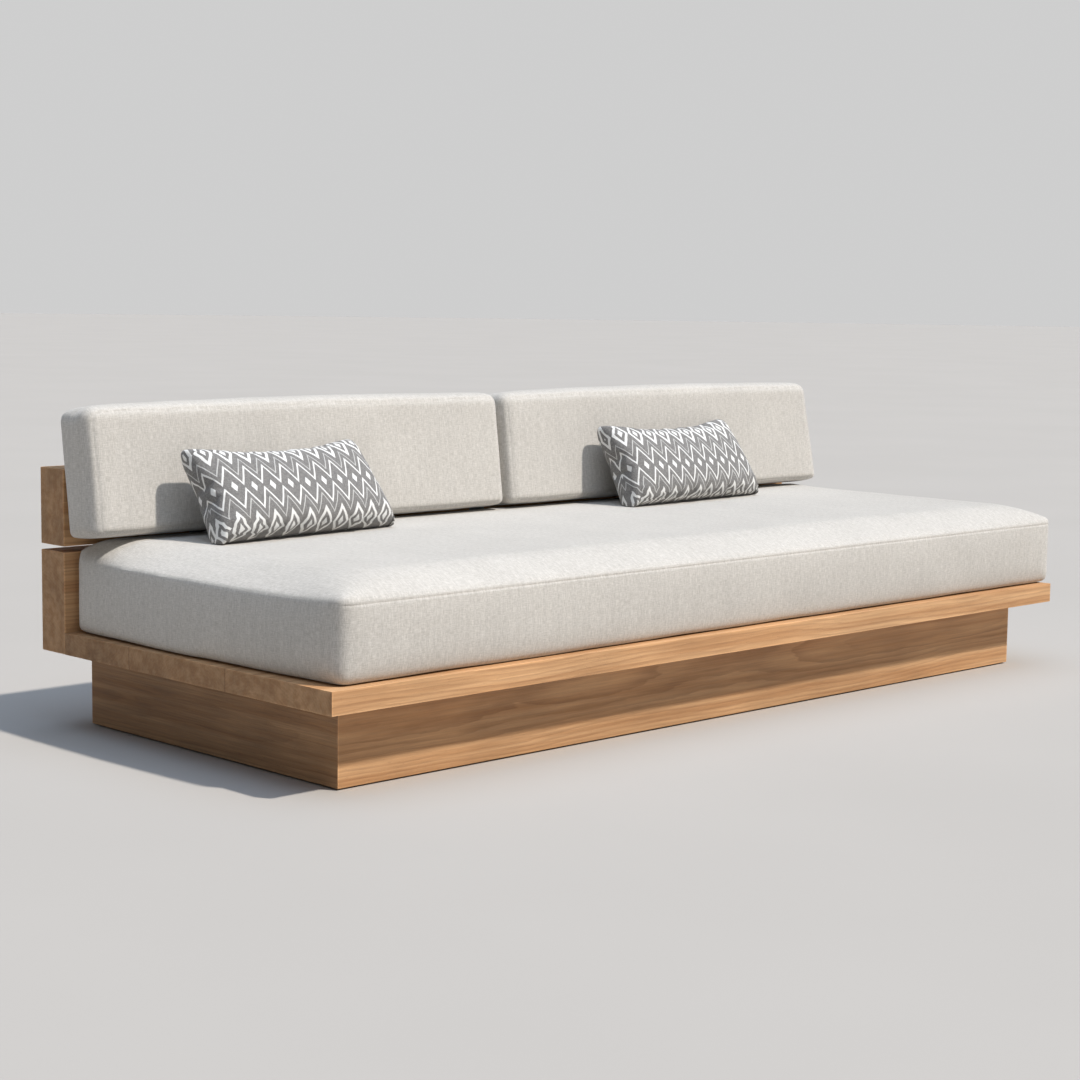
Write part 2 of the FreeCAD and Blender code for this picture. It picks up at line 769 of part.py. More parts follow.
def export():
    os.makedirs("parts", exist_ok=True)
    for piece in nodes:
        piece.Shape.exportStep(f"parts/{piece.Label}.step")


make_sheet()
plinth()
deck()
back()
cushions()
doc.recompute()
check()
export()
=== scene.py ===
import math

import bmesh
import bpy
import numpy as np
from mathutils import Matrix, Vector, noise


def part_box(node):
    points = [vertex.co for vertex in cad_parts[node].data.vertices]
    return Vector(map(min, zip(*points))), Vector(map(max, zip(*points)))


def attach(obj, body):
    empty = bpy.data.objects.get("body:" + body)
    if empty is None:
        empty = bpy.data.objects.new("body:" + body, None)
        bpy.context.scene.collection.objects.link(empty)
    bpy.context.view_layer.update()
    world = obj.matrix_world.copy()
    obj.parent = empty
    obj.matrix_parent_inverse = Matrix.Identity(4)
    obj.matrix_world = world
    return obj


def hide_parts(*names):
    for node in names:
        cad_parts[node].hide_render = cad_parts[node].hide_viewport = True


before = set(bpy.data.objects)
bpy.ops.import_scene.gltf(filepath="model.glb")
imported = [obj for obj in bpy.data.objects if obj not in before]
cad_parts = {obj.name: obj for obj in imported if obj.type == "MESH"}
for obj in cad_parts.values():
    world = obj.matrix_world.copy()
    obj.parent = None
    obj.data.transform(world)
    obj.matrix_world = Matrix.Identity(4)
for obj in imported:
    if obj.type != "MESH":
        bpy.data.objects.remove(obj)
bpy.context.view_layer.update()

# A platform daybed: carried-over teak, steel and plastic nodes with procedural
# materials, and a mattress, two back cushions and two pillows that are inflated
# by cloth simulation, then sewn, placed and pressed against what they rest on.
# Metres throughout, in the row frame: X along the length, the front faces -Y.

MM = 0.001
DECK_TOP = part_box("deck_plank_front")[1][2]
SOFT_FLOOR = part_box("seat_mattress_cover")[1][2]
BOARD_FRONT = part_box("back_board_upper")[0][1]
BOARD_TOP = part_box("back_board_upper")[1][2]
LEAN = math.radians(7.5)
REST_THICKNESS = 0.124
REST_GAP = 0.3 * MM


# ------------------------------------------------------------------ shading


class Shader:
    """A material with a Principled surface, and short calls that add nodes."""

    def __init__(self, name):
        self.material = bpy.data.materials.new(name)
        self.material.use_nodes = True
        self.tree = self.material.node_tree
        self.surface = self.tree.nodes["Principled BSDF"]

    def feed(self, socket, value):
        if isinstance(value, bpy.types.NodeSocket):
            self.tree.links.new(value, socket)
        else:
            socket.default_value = value

    def node(self, kind, inputs=None, **settings):
        made = self.tree.nodes.new("ShaderNode" + kind)
        for key, value in settings.items():
            setattr(made, key, value)
        for key, value in (inputs or {}).items():
            self.feed(made.inputs[key], value)
        return made

    def math(self, operation, *values, clamp=False):
        made = self.node("Math", operation=operation, use_clamp=clamp)
        for socket, value in zip(made.inputs, values):
            self.feed(socket, value)
        return made.outputs[0]

    def times(self, first, second):
        return self.math("MULTIPLY", first, second)

    def plus(self, first, second):
        return self.math("ADD", first, second)

    def minus(self, first, second):
        return self.math("SUBTRACT", first, second)

    def split(self, vector):
        made = self.node("SeparateXYZ", {"Vector": vector})
        return made.outputs[0], made.outputs[1], made.outputs[2]

    def join(self, x, y, z):
        return self.node("CombineXYZ", {"X": x, "Y": y, "Z": z}).outputs[0]

    def stretched(self, parts, scales):
        """A point scaled on each axis, which draws a noise out along one."""
        return self.join(*(self.times(part, scale) for part, scale in zip(parts, scales)))

    def object_point(self):
        return self.node("TexCoord").outputs["Object"]

    def object_normal(self):
        return self.node("TexCoord").outputs["Normal"]

    def noise(self, vector, scale, detail=2.0, roughness=0.5):
        inputs = {"Vector": vector, "Scale": scale, "Detail": detail, "Roughness": roughness}
        return self.node("TexNoise", inputs).outputs[0]

    def spread(self, value, low, high, to_low=0.0, to_high=1.0, smooth=True):
        """A value's range carried onto another range, and clamped to it."""
        kind = "SMOOTHSTEP" if smooth else "LINEAR"
        made = self.node("MapRange", interpolation_type=kind, clamp=True)
        names = ("From Min", "From Max", "To Min", "To Max")
        for key, number in zip(names, (low, high, to_low, to_high)):
            self.feed(made.inputs[key], number)
        self.feed(made.inputs["Value"], value)
        return made.outputs[0]

    def mix(self, factor, first, second):
        made = self.node("Mix", data_type="RGBA")
        self.feed(made.inputs[0], factor)
        self.feed(made.inputs[6], first)
        self.feed(made.inputs[7], second)
        return made.outputs[2]

    def scaled(self, colour, factor):
        """A colour times a number."""
        made = self.node("VectorMath", operation="SCALE")
        self.feed(made.inputs[0], colour)
        self.feed(made.inputs["Scale"], factor)
        return made.outputs[0]

    def bump(self, height, distance, strength=1.0):
        inputs = {"Height": height, "Distance": distance, "Strength": strength}
        self.feed(self.surface.inputs["Normal"], self.node("Bump", inputs).outputs[0])

    def set(self, **values):
        names = {
            "colour": "Base Color",
            "roughness": "Roughness",
            "metallic": "Metallic",
            "sheen": "Sheen Weight",
            "sheen_roughness": "Sheen Roughness",
            "specular": "Specular IOR Level",
        }
        for key, value in values.items():
            self.feed(self.surface.inputs[names[key]], value)


def rgb(red, green, blue):
    """An sRGB colour of 0 to 255 as linear RGBA."""
    parts = [c / 255 for c in (red, green, blue)]
    linear = [c / 12.92 if c <= 0.04045 else ((c + 0.055) / 1.055) ** 2.4 for c in parts]
    return (*linear, 1.0)


# --------------------------------------------------------------------- wood

TEAK_LIGHT = rgb(209, 166, 122)
TEAK_MID = rgb(185, 139, 96)
TEAK_DARK = rgb(125, 83, 52)
DECK_JOINTS = tuple(corner[1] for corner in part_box("deck_plank_middle"))
JOINT_WIDTH = 2.2 * MM
JOINT_SHADE = 0.42
RING = 7 * MM
RING_SWAY = 50 * MM
RING_RIPPLE = 8 * MM
FIGURE_ALONG = 0.38
FIGURE_AT_END = 0.14
END_TONE = 0.67
EDGE_RUB = 5 * MM


def edge_mask(s, point, low, high, width):
    """1 on a box's edges, fading to 0 at a width from them."""
    near = []
    for part, a, b in zip(s.split(point), low, high):
        offset = s.math("ABSOLUTE", s.minus(part, (a + b) / 2))
        near.append(s.minus(offset, (b - a) / 2))
    first = s.math("MINIMUM", near[0], near[1])
    rest = s.math("MINIMUM", s.math("MAXIMUM", near[0], near[1]), near[2])
    return s.spread(s.math("MAXIMUM", first, rest), -width, 0.0)


def growth_rings(s, fibres, point, box, along, pith, seed):
    """Dark late wood in uneven rings about a pith that lies beside the board."""
    low, high = box
    side = 1 if along == "x" else 0
    parts = s.split(point)
    slow = s.noise(s.stretched(fibres, (1.1, 5.0, 5.0)), 1.0, 2.0, 0.5)
    sway = s.times(s.minus(slow, 0.5), RING_SWAY)
    quick = s.noise(s.stretched(fibres, (6.0, 30.0, 30.0)), 1.0, 3.0, 0.6)
    ripple = s.times(s.minus(quick, 0.5), RING_RIPPLE)
    across = s.minus(parts[side], (low[side] + high[side]) / 2 + pith[0])
    up = s.minus(parts[2], (low[2] + high[2]) / 2 + pith[1])
    far = s.math("SQRT", s.plus(s.times(across, across), s.times(up, up)))
    radius = s.plus(s.plus(far, sway), ripple)
    phase = s.math("FRACT", s.math("DIVIDE", radius, RING))
    late = s.times(s.spread(phase, 0.25, 0.92), s.spread(phase, 1.0, 0.93))
    ring_place = s.join(s.math("DIVIDE", radius, RING * 2.5), 0.0, seed * 1.0)
    uneven = s.noise(ring_place, 1.0, 2.0, 0.6)
    return s.times(late, s.spread(uneven, 0.3, 0.7, 0.25, 1.0))


def darkened_joints(s, shade, across):
    """A thin dark line along the joints on both sides of the middle plank."""
    for joint in DECK_JOINTS:
        away = s.math("ABSOLUTE", s.minus(across, joint))
        shade = s.times(shade, s.spread(away, 0.3 * MM, JOINT_WIDTH, JOINT_SHADE, 1.0))
    return shade


def teak(name, node, along, pith, seed, tone):
    """Teak for one board: growth rings about a pith beside the board, fibres
    along it, darker end grain and edges rubbed lighter."""
    s = Shader(name)
    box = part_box(node)
    point = s.object_point()
    added = s.node("VectorMath", operation="ADD")
    s.feed(added.inputs[0], point)
    s.feed(added.inputs[1], (seed * 1.37, seed * 0.71, seed * 0.43))
    moved = added.outputs[0]
    x, y, z = s.split(moved)
    fibres = (x, y, z) if along == "x" else (y, x, z)
    rings = growth_rings(s, fibres, point, box, along, pith, seed)
    fibre = s.noise(s.stretched(fibres, (9.0, 330.0, 330.0)), 1.0, 3.0, 0.65)
    streak = s.noise(s.stretched(fibres, (1.6, 55.0, 55.0)), 1.0, 2.0, 0.5)
    pores = s.noise(s.stretched(fibres, (55.0, 1500.0, 1500.0)), 1.0, 1.0, 0.5)
    pore = s.spread(pores, 0.66, 0.74)
    patch = s.noise(moved, 3.2, 2.0, 0.5)
    normal = s.split(s.object_normal())[0 if along == "x" else 1]
    end = s.spread(s.math("ABSOLUTE", normal), 0.6, 0.85)
    base = s.mix(s.spread(streak, 0.28, 0.72), TEAK_MID, TEAK_LIGHT)
    figure = s.times(rings, s.spread(end, 0.0, 1.0, FIGURE_ALONG, FIGURE_AT_END))
    base = s.mix(figure, base, TEAK_DARK)
    lines = s.spread(fibre, 0.25, 0.75, -0.10, 0.10)
    shade = s.plus(lines, s.spread(patch, 0.3, 0.7, -0.09, 0.09))
    shade = s.minus(s.plus(shade, tone), s.times(pore, 0.13))
    spots = s.noise(moved, 12.0, 3.0, 0.6)
    blotch = s.spread(spots, 0.3, 0.7, END_TONE - 0.10, END_TONE + 0.08)
    shade = s.times(shade, s.plus(1.0, s.times(end, s.minus(blotch, 1.0))))
    rub = s.times(edge_mask(s, point, *box, EDGE_RUB), s.spread(patch, 0.25, 0.6))
    shade = s.times(shade, s.plus(1.0, s.times(rub, 0.22)))
    if node.startswith("deck_plank"):
        shade = darkened_joints(s, shade, s.split(point)[1])
    roughness = s.spread(fibre, 0.2, 0.8, 0.52, 0.72)
    s.set(colour=s.scaled(base, shade), roughness=roughness, specular=0.35)
    height = s.minus(s.times(fibre, 0.5), s.plus(s.times(rings, 0.35), pore))
    s.bump(height, 0.5 * MM, 0.6)
    return s.material


# -------------------------------------------------------------------- cloth

FABRIC_LIGHT = rgb(206, 202, 196)
FABRIC_DARK = rgb(174, 170, 163)
THREAD = 1.5 * MM


def flat_weave(s):
    """Two coordinates in the plane of the cloth, from the point and its normal."""
    x, y, z = s.split(s.object_point())
    nx, ny, nz = (s.math("ABSOLUTE", part) for part in s.split(s.object_normal()))
    end_face = s.math("GREATER_THAN", nx, s.math("MAXIMUM", ny, nz))
    top_face = s.math("GREATER_THAN", nz, s.math("MAXIMUM", nx, ny))
    across = s.plus(x, s.times(end_face, s.minus(y, x)))
    up = s.plus(z, s.times(top_face, s.minus(y, z)))
    return across, up


def weave_height(s, across, up, pitch):
    """Raised crossings of a plain weave, 0 to 1, one thread every pitch."""
    turn = math.tau / (2 * pitch)
    a = s.math("SINE", s.times(across, turn))
    b = s.math("SINE", s.times(up, turn))
    return s.math("MULTIPLY_ADD", s.times(a, b), 0.5, 0.5)


def slubs(s, across, up, fine, long):
    """Uneven yarn thickness in the warp and the weft, both about 0.5: noise
    that is fine across the yarn and long along it."""
    warp_point = s.join(s.times(across, fine), s.times(up, long), 0.0)
    weft_point = s.join(s.times(across, long), s.times(up, fine), 4.0)
    return s.noise(warp_point, 1.0, 2.0, 0.6), s.noise(weft_point, 1.0, 2.0, 0.6)


def plain_fabric(name, seed):
    """A pale oatmeal outdoor cloth of two yarns in a fine plain weave."""
    s = Shader(name)
    across, up = flat_weave(s)
    across = s.plus(across, seed * 0.317)
    height = weave_height(s, across, up, THREAD)
    warp, weft = slubs(s, across, up, 520.0, 70.0)
    fine_warp, fine_weft = slubs(s, across, up, 1300.0, 350.0)
    yarn = s.plus(s.times(warp, 0.55), s.times(weft, 0.45))
    fleck = s.times(s.plus(fine_warp, fine_weft), 0.5)
    mixed = s.plus(s.times(yarn, 0.6), s.times(fleck, 0.4))
    colour = s.mix(s.spread(mixed, 0.38, 0.62), FABRIC_DARK, FABRIC_LIGHT)
    cloud = s.spread(s.noise(s.object_point(), 5.0, 2.0, 0.5), 0.3, 0.7, 0.975, 1.025)
    streak_point = s.join(s.times(across, 150.0), s.times(up, 9.0), 2.0)
    streaks = s.noise(streak_point, 1.0, 2.0, 0.5)
    cloud = s.times(cloud, s.spread(streaks, 0.3, 0.7, 0.955, 1.035))
    # Painted shade: the hollows between raised weave crossings are darker, times the cloth's
    # cloudy tone and streaks.
    tone_and_weave_shade = s.times(cloud, s.spread(height, 0.0, 1.0, 0.93, 1.03, smooth=False))
    s.set(colour=s.scaled(colour, tone_and_weave_shade), roughness=s.spread(fleck, 0.3, 0.7, 0.82, 0.95))
    s.set(sheen=0.25, sheen_roughness=0.5, specular=0.25)
    s.bump(s.plus(s.times(height, 0.6), s.times(mixed, 1.2)), 0.4 * MM, 0.6)
    return s.material


PATTERN_PITCH = 51 * MM
PATTERN_RISE = 45 * MM
PATTERN_GREY = rgb(138, 136, 134)
PATTERN_DEEP = rgb(104, 103, 102)
PATTERN_WHITE = rgb(228, 228, 226)
# White bands above the line where the zigzags start: from, to (mm), whiteness.
ZIGZAG_BANDS = ((2.5, 10.5, 1.0), (28, 32.5, 0.6))
BAND_SOFT = 0.8 * MM
# The row of small diamonds takes over from the zigzags between these.
ROW_STARTS = (46 * MM, 48 * MM)
SMALL_ROW = 100 * MM
SMALL_HALF = (16 * MM, 28 * MM)
CENTRE_HALF = (8 * MM, 13 * MM)


def diamond(s, across, up, half):
    """Distance from a diamond's centre, where 1 is its outline."""
    wide = s.math("DIVIDE", s.math("ABSOLUTE", across), half[0])
    tall = s.math("DIVIDE", s.math("ABSOLUTE", up), half[1])
    return s.plus(wide, tall)


def band(s, value, start, end, soft):
    """1 between two values, with soft borders."""
    rise = s.spread(value, start - soft, start + soft)
    fall = s.spread(value, end - soft, end + soft, 1.0, 0.0)
    return s.times(rise, fall)


def zigzag_white(s, above):
    """Whiteness of the zigzags, by the distance above the first one."""
    white = None
    for start, end, amount in ZIGZAG_BANDS:
        part = s.times(band(s, above, start * MM, end * MM, BAND_SOFT), amount)
        white = part if white is None else s.math("MAXIMUM", white, part)
    return white


def pattern_white(s, across, up):
    """Whiteness of the whole pattern, the same above and below its middle."""
    level = s.math("ABSOLUTE", up)
    from_centre = s.math("PINGPONG", across, PATTERN_PITCH / 2)
    from_valley = s.minus(PATTERN_PITCH / 2, from_centre)
    peak = s.times(from_valley, 2 * PATTERN_RISE / PATTERN_PITCH)
    above = s.minus(level, peak)
    zigzags = zigzag_white(s, above)
    small = diamond(s, from_valley, s.minus(level, SMALL_ROW), SMALL_HALF)
    outline = band(s, small, 1.0, 1.5, 0.03)
    row = s.math("MAXIMUM", outline, s.spread(small, 0.42, 0.52, 1.0, 0.0))
    outer = s.spread(above, *ROW_STARTS)
    white = s.plus(s.times(zigzags, s.minus(1.0, outer)), s.times(row, outer))
    centre = diamond(s, from_centre, level, CENTRE_HALF)
    return s.math("MAXIMUM", white, s.spread(centre, 0.92, 1.04, 1.0, 0.0))


def patterned_fabric(name, middle):
    """Grey and white jacquard: a row of large diamonds between zigzags, and a
    row of small outlined diamonds along each long edge."""
    s = Shader(name)
    flat = s.node("Attribute", attribute_name="flat").outputs["Vector"]
    across, up, _ = s.split(flat)
    fuzz = s.minus(s.noise(flat, 700.0, 1.0, 0.5), 0.5)
    across = s.plus(across, s.times(fuzz, 1.6 * MM))
    up = s.plus(s.minus(up, middle), s.times(fuzz, 2.0 * MM))
    white = pattern_white(s, across, up)
    height = weave_height(s, across, up, 1.3 * MM)
    warp, weft = slubs(s, across, up, 900.0, 90.0)
    yarn = s.times(s.plus(warp, weft), 0.5)
    grey = s.mix(s.spread(yarn, 0.38, 0.62), PATTERN_DEEP, PATTERN_GREY)
    colour = s.mix(white, grey, PATTERN_WHITE)
    # Painted shade: the hollows of the weave are darker, times the yarn's uneven tone.
    weave_shade = s.spread(height, 0.0, 1.0, 0.92, 1.03, smooth=False)
    tone_and_weave_shade = s.times(s.spread(yarn, 0.3, 0.7, 0.93, 1.05), weave_shade)
    s.set(colour=s.scaled(colour, tone_and_weave_shade), roughness=s.spread(yarn, 0.3, 0.7, 0.82, 0.95))
    s.set(sheen=0.2, sheen_roughness=0.5, specular=0.2)
    relief = s.plus(s.times(height, 0.7), s.times(white, 0.8))
    s.bump(s.plus(relief, yarn), 0.6 * MM, 0.7)
    return s.material


# ------------------------------------------------------ metal, plastic, floor

STEEL_DARK = rgb(148, 150, 152)
STEEL_LIGHT = rgb(176, 177, 178)
FLOOR_DARK = rgb(174, 170, 165)
FLOOR_LIGHT = rgb(176, 172, 167)


def steel(name):
    s = Shader(name)
    x, y, z = s.split(s.object_point())
    brushed = s.noise(s.join(s.times(x, 900.0), y, s.times(z, 12.0)), 1.0, 2.0, 0.5)
    cloud = s.noise(s.object_point(), 40.0, 3.0, 0.6)
    s.set(colour=s.mix(s.spread(cloud, 0.3, 0.7), STEEL_DARK, STEEL_LIGHT), metallic=1.0)
    s.set(roughness=s.spread(brushed, 0.2, 0.8, 0.28, 0.46))
    s.bump(brushed, 0.1 * MM, 0.5)
    return s.material


def moulded_plastic(name, colour, worn):
    s = Shader(name)
    grain = s.noise(s.object_point(), 1800.0, 2.0, 0.6)
    cloud = s.noise(s.object_point(), 60.0, 2.0, 0.5)
    s.set(colour=s.mix(s.spread(cloud, 0.35, 0.7), colour, worn))
    s.set(roughness=s.spread(grain, 0.2, 0.8, 0.45, 0.65))
    s.bump(grain, 0.1 * MM, 0.6)
    return s.material


def floor_paint(name):
    s = Shader(name)
    cloud = s.noise(s.object_point(), 0.9, 3.0, 0.5)
    s.set(colour=s.mix(s.spread(cloud, 0.3, 0.7), FLOOR_DARK, FLOOR_LIGHT))
    s.set(roughness=0.8, specular=0.2)
    return s.material


def assign(node, material):
    """Puts a material in every slot of a carried-over node."""
    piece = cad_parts[node]
    for slot in piece.material_slots:
        slot.material = material


# Per board: grain direction, pith beside the board's middle (across, up), tone. The left
# plinth board's low tone is painted shade, for the side that faces away from the sun.
BOARDS = {
    "deck_plank_front": ("x", (0.05, -0.16), 0.98),
    "deck_plank_middle": ("x", (-0.08, -0.11), 0.88),
    "deck_plank_rear": ("x", (0.03, 0.13), 0.82),
    "back_board_lower": ("x", (0.10, -0.17), 0.88),
    "back_board_upper": ("x", (0.12, 0.05), 0.88),
    "plinth_front_board": ("x", (0.11, 0.05), 0.90),
    "plinth_rear_board": ("x", (-0.11, 0.03), 0.95),
    # Painted shade: the left plinth board is darkened for the side away from the sun.
    "plinth_left_board": ("y", (0.05, -0.01), 0.57),
    "plinth_right_board": ("y", (-0.05, 0.02), 0.90),
}
# Grain direction of the inside pieces, by how their names start.
HIDDEN_TEAK = {
    "bearer": "y",
    "corner_block": "y",
    "deck_cleat_front": "x",
    "deck_cleat_rear": "x",
    "deck_cleat_left": "y",
    "deck_cleat_right": "y",
    "deck_spline": "x",
    "back_board_dowels": "x",
    "back_spacer": "x",
}
HIDDEN_PITH = (0.07, -0.05)
HIDDEN_TONE = 0.85


def dress_frame():
    """Gives every wooden, steel and plastic node its material."""
    for seed, (node, (along, pith, tone)) in enumerate(BOARDS.items(), 1):
        assign(node, teak("teak_" + node, node, along, pith, seed, tone))
    metal = steel("bright_steel")
    foot = moulded_plastic("foot_plastic", rgb(38, 38, 40), rgb(52, 52, 53))
    for seed, node in enumerate(sorted(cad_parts), 20):
        if node in BOARDS:
            continue
        wood = [along for start, along in HIDDEN_TEAK.items() if node.startswith(start)]
        if wood:
            assign(node, teak("teak_" + node, node, wood[0], HIDDEN_PITH, seed, HIDDEN_TONE))
        elif "screws" in node or "bracket" in node:
            assign(node, metal)
        elif node == "floor_feet":
            assign(node, foot)


# --------------------------------------------------------------- soft shapes


def lattice_box(counts):
    """Points of a cube's surface, -1 to 1 on each axis, and its square faces."""
    index = {}
    points = []
    faces = []

    def corner(cell):
        if cell not in index:
            index[cell] = len(points)
            points.append([2 * c / n - 1 for c, n in zip(cell, counts)])
        return index[cell]

    for axis in range(3):
        b, c = (axis + 1) % 3, (axis + 2) % 3
        for side in (0, counts[axis]):
            for i in range(counts[b]):
                for j in range(counts[c]):
                    ring = []
                    for di, dj in ((0, 0), (1, 0), (1, 1), (0, 1)):
                        cell = [0, 0, 0]
                        cell[axis], cell[b], cell[c] = side, i + di, j + dj
                        ring.append(corner(tuple(cell)))
                    faces.append(ring if side else ring[::-1])
    return np.array(points), faces


def rounded(points, half, front, rear, top, bottom):
    """Cube points moved onto a box with rounded corners: the radii in plan at
    the front and rear, and of the top and bottom edges."""
    tall = np.where(points[:, 2] > 0, top, bottom)
    plan = np.where(points[:, 1] > 0, rear, front)
    radius = np.stack([plan, plan, tall], axis=1)
    spot = points * half
    inner = np.array(half) - radius
    core = np.clip(spot, -inner, inner)
    away = (spot - core) / radius
    away /= np.linalg.norm(away, axis=1, keepdims=True)
    return core + away * radius


def new_piece(name, points, faces, material):
    mesh = bpy.data.meshes.new(name)
    mesh.from_pydata([tuple(p) for p in points], [], faces)
    mesh.materials.append(material)
    piece = bpy.data.objects.new(name, mesh)
    bpy.context.scene.collection.objects.link(piece)
    return piece


def read_points(mesh):
    flat = np.empty(len(mesh.vertices) * 3)
    mesh.vertices.foreach_get("co", flat)
    return flat.reshape(-1, 3)


def write_points(mesh, points):
    mesh.vertices.foreach_set("co", np.ascontiguousarray(points).ravel())
    mesh.update()


def read_normals(mesh):
    flat = np.empty(len(mesh.vertices) * 3)
    mesh.vertex_normals.foreach_get("vector", flat)
    return flat.reshape(-1, 3)


def soft_box(name, size, radii, step, material, pull_in):
    """A boxed cushion about its own middle, before it swells. Its sides pull
    in between the corners."""
    counts = [max(4, round(length / step)) for length in size]
    points, faces = lattice_box(counts)
    half = [length / 2 for length in size]
    shape = rounded(points, half, *radii)
    mid_x = 1 - (shape[:, 0] / half[0]) ** 2
    mid_y = 1 - (shape[:, 1] / half[1]) ** 2
    shape[:, 1] *= 1 - pull_in / half[1] * np.clip(mid_x, 0, 1)
    shape[:, 0] *= 1 - pull_in / half[0] * np.clip(mid_y, 0, 1)
    return new_piece(name, shape, faces, material)


def hold(piece, weights):
    """Pins cloth points by weight: 1 stays where it is."""
    group = piece.vertex_groups.new(name="held")
    for index, weight in enumerate(weights):
        if weight > 0.01:
            group.add([index], float(weight), "REPLACE")


def add_cloth(piece, pressure, held):
    cloth = piece.modifiers.new("Cloth", "CLOTH")
    settings = cloth.settings
    settings.quality = 5
    settings.mass = 0.3
    settings.tension_stiffness = 12
    settings.compression_stiffness = 12
    settings.shear_stiffness = 4
    settings.bending_stiffness = 0.6
    settings.use_pressure = True
    settings.uniform_pressure_force = pressure
    settings.effector_weights.gravity = 0
    if held:
        settings.vertex_group_mass = "held"
        settings.pin_stiffness = 1


def inflate(pieces, frames=20):
    """Runs every piece's cloth together, and returns their swollen points."""
    scene = bpy.context.scene
    for step in range(1, frames + 1):
        scene.frame_set(step)
    graph = bpy.context.evaluated_depsgraph_get()
    swollen = [read_points(piece.evaluated_get(graph).data) for piece in pieces]
    for piece in pieces:
        piece.modifiers.clear()
        piece.vertex_groups.clear()
    scene.frame_set(1)
    return swollen


def eased(move, caps):
    """Moves that level off at a cap on each axis."""
    caps = np.array(caps)
    return caps * np.tanh(move / caps)


def eased_below(values, limit, width):
    """Values that level off within a width of a limit, and never pass it."""
    over = np.maximum(values - (limit - width), 0)
    return values + (width * np.tanh(over / width) - over)


def subdivide(piece):
    """Replaces a piece's mesh by a smooth one with four times the faces."""
    modifier = piece.modifiers.new("Subdivision", "SUBSURF")
    modifier.levels = 1
    modifier.render_levels = 1
    graph = bpy.context.evaluated_depsgraph_get()
    finer = bpy.data.meshes.new_from_object(piece.evaluated_get(graph), depsgraph=graph)
    piece.modifiers.clear()
    old = piece.data
    piece.data = finer
    bpy.data.meshes.remove(old)


SEAM_LOOPS = (-5 * MM, -1.4 * MM, 0.0, 1.4 * MM, 5 * MM)
SEAM_REACH = 8 * MM
GROOVE_WIDTH = 1.2 * MM
PUFF_PLACE = 5 * MM
PUFF_WIDTH = 2.5 * MM


def cut_loops(piece, planes):
    """Adds rings of points along each seam, enough to shape its groove."""
    cloth = bmesh.new()
    cloth.from_mesh(piece.data)
    for point, normal in planes:
        for offset in SEAM_LOOPS:
            every = cloth.verts[:] + cloth.edges[:] + cloth.faces[:]
            spot = Vector(point) + Vector(normal) * offset
            plane = {"plane_co": spot, "plane_no": normal}
            bmesh.ops.bisect_plane(cloth, geom=every, dist=0.2 * MM, **plane)
    cloth.to_mesh(piece.data)
    cloth.free()


def sew(piece, planes, depth, end_share=1.0):
    """Presses a stitched seam into the cloth along each plane, (point, normal):
    a groove that puffs up slightly on both sides, and unevenly along it. The
    seam may be shallower on the faces at the two ends."""
    cut_loops(piece, planes)
    points = read_points(piece.data)
    normals = read_normals(piece.data)
    for point, normal in planes:
        away = (points - np.array(point)) @ np.array(normal)
        near = np.abs(away) < SEAM_REACH
        groove = np.exp(-((away[near] / GROOVE_WIDTH) ** 2))
        puff = np.exp(-(((np.abs(away[near]) - PUFF_PLACE) / PUFF_WIDTH) ** 2))
        pucker = np.array([noise.noise(Vector(p) * 60) for p in points[near]])
        amount = depth * (puff * 0.22 * (1 + 0.8 * pucker) - groove * (1 + 0.35 * pucker))
        at_end = np.clip(2 * np.abs(normals[near, 0]) - 0.8, 0, 1)
        amount *= 1 + (end_share - 1) * at_end
        points[near] += normals[near] * amount[:, None]
    write_points(piece.data, points)


def soften(piece, amount, scale, seed):
    """Slow uneven swelling that real filling gives."""
    points = read_points(piece.data)
    normals = read_normals(piece.data)
    shift = Vector((seed * 3.1, seed * 1.7, seed * 0.9))
    wave = np.array([noise.noise(Vector(p) * scale + shift) for p in points])
    write_points(piece.data, points + normals * (wave * amount)[:, None])


def put(piece, matrix):
    """Moves a piece's own points, so its object stays at the origin."""
    piece.data.transform(matrix)
    piece.data.update()


def smooth(piece):
    piece.data.polygons.foreach_set("use_smooth", [True] * len(piece.data.polygons))
    piece.data.update()


# ------------------------------------------------------------------ mattress

SEAT_STEP = 18 * MM
# How far the box that swells stands inside the cover's low and high corners.
SEAT_LOW_INSET = (2 * MM, 5 * MM, 0.3 * MM)
SEAT_HIGH_INSET = (2 * MM, 3 * MM, 10 * MM)
# Radii in plan at the front and the rear, and of the top and bottom edges.
SEAT_RADII = (24 * MM, 9 * MM, 26 * MM, 16 * MM)
SEAT_PULL_IN = 2 * MM
SEAT_SWELL = (6 * MM, 5 * MM, 11 * MM)
SEAT_SEAM = 0.3665
SEAT_SEAM_DEPTH = 1.1 * MM
SEAT_REAR_FLARE = 13 * MM
SEAT_RIGHT_FLARE = 13 * MM
SEAT_LEFT_BULGE = 18 * MM
SEAT_EDGE_DROP = 22 * MM
SEAT_EDGE_WIDTH = 130 * MM
# Behind this line the ends drop less, by this share.
SEAT_RESTS_FROM = 0.2
SEAT_FIRM_REAR = 0.6
SEAT_REAR_GAP = 5.5 * MM
SOFT_LIMIT = 3 * MM


def crown_seat(points, low, high, above):
    """The top falls towards the front and both ends, and less at the ends of
    the strip that the back cushions stand on."""
    under_rests = np.clip((points[:, 1] - SEAT_RESTS_FROM) / SEAT_EDGE_WIDTH, 0, 1)
    from_end = np.minimum(points[:, 0] - low[0], high[0] - points[:, 0]) / SEAT_EDGE_WIDTH
    from_front = (points[:, 1] - low[1]) / SEAT_EDGE_WIDTH
    end_drop = (1 - np.clip(from_end, 0, 1)) ** 2 * (1 - SEAT_FIRM_REAR * under_rests)
    flat = (1 - end_drop) * (1 - (1 - np.clip(from_front, 0, 1)) ** 2)
    points[:, 2] -= SEAT_EDGE_DROP * (1 - flat) * above


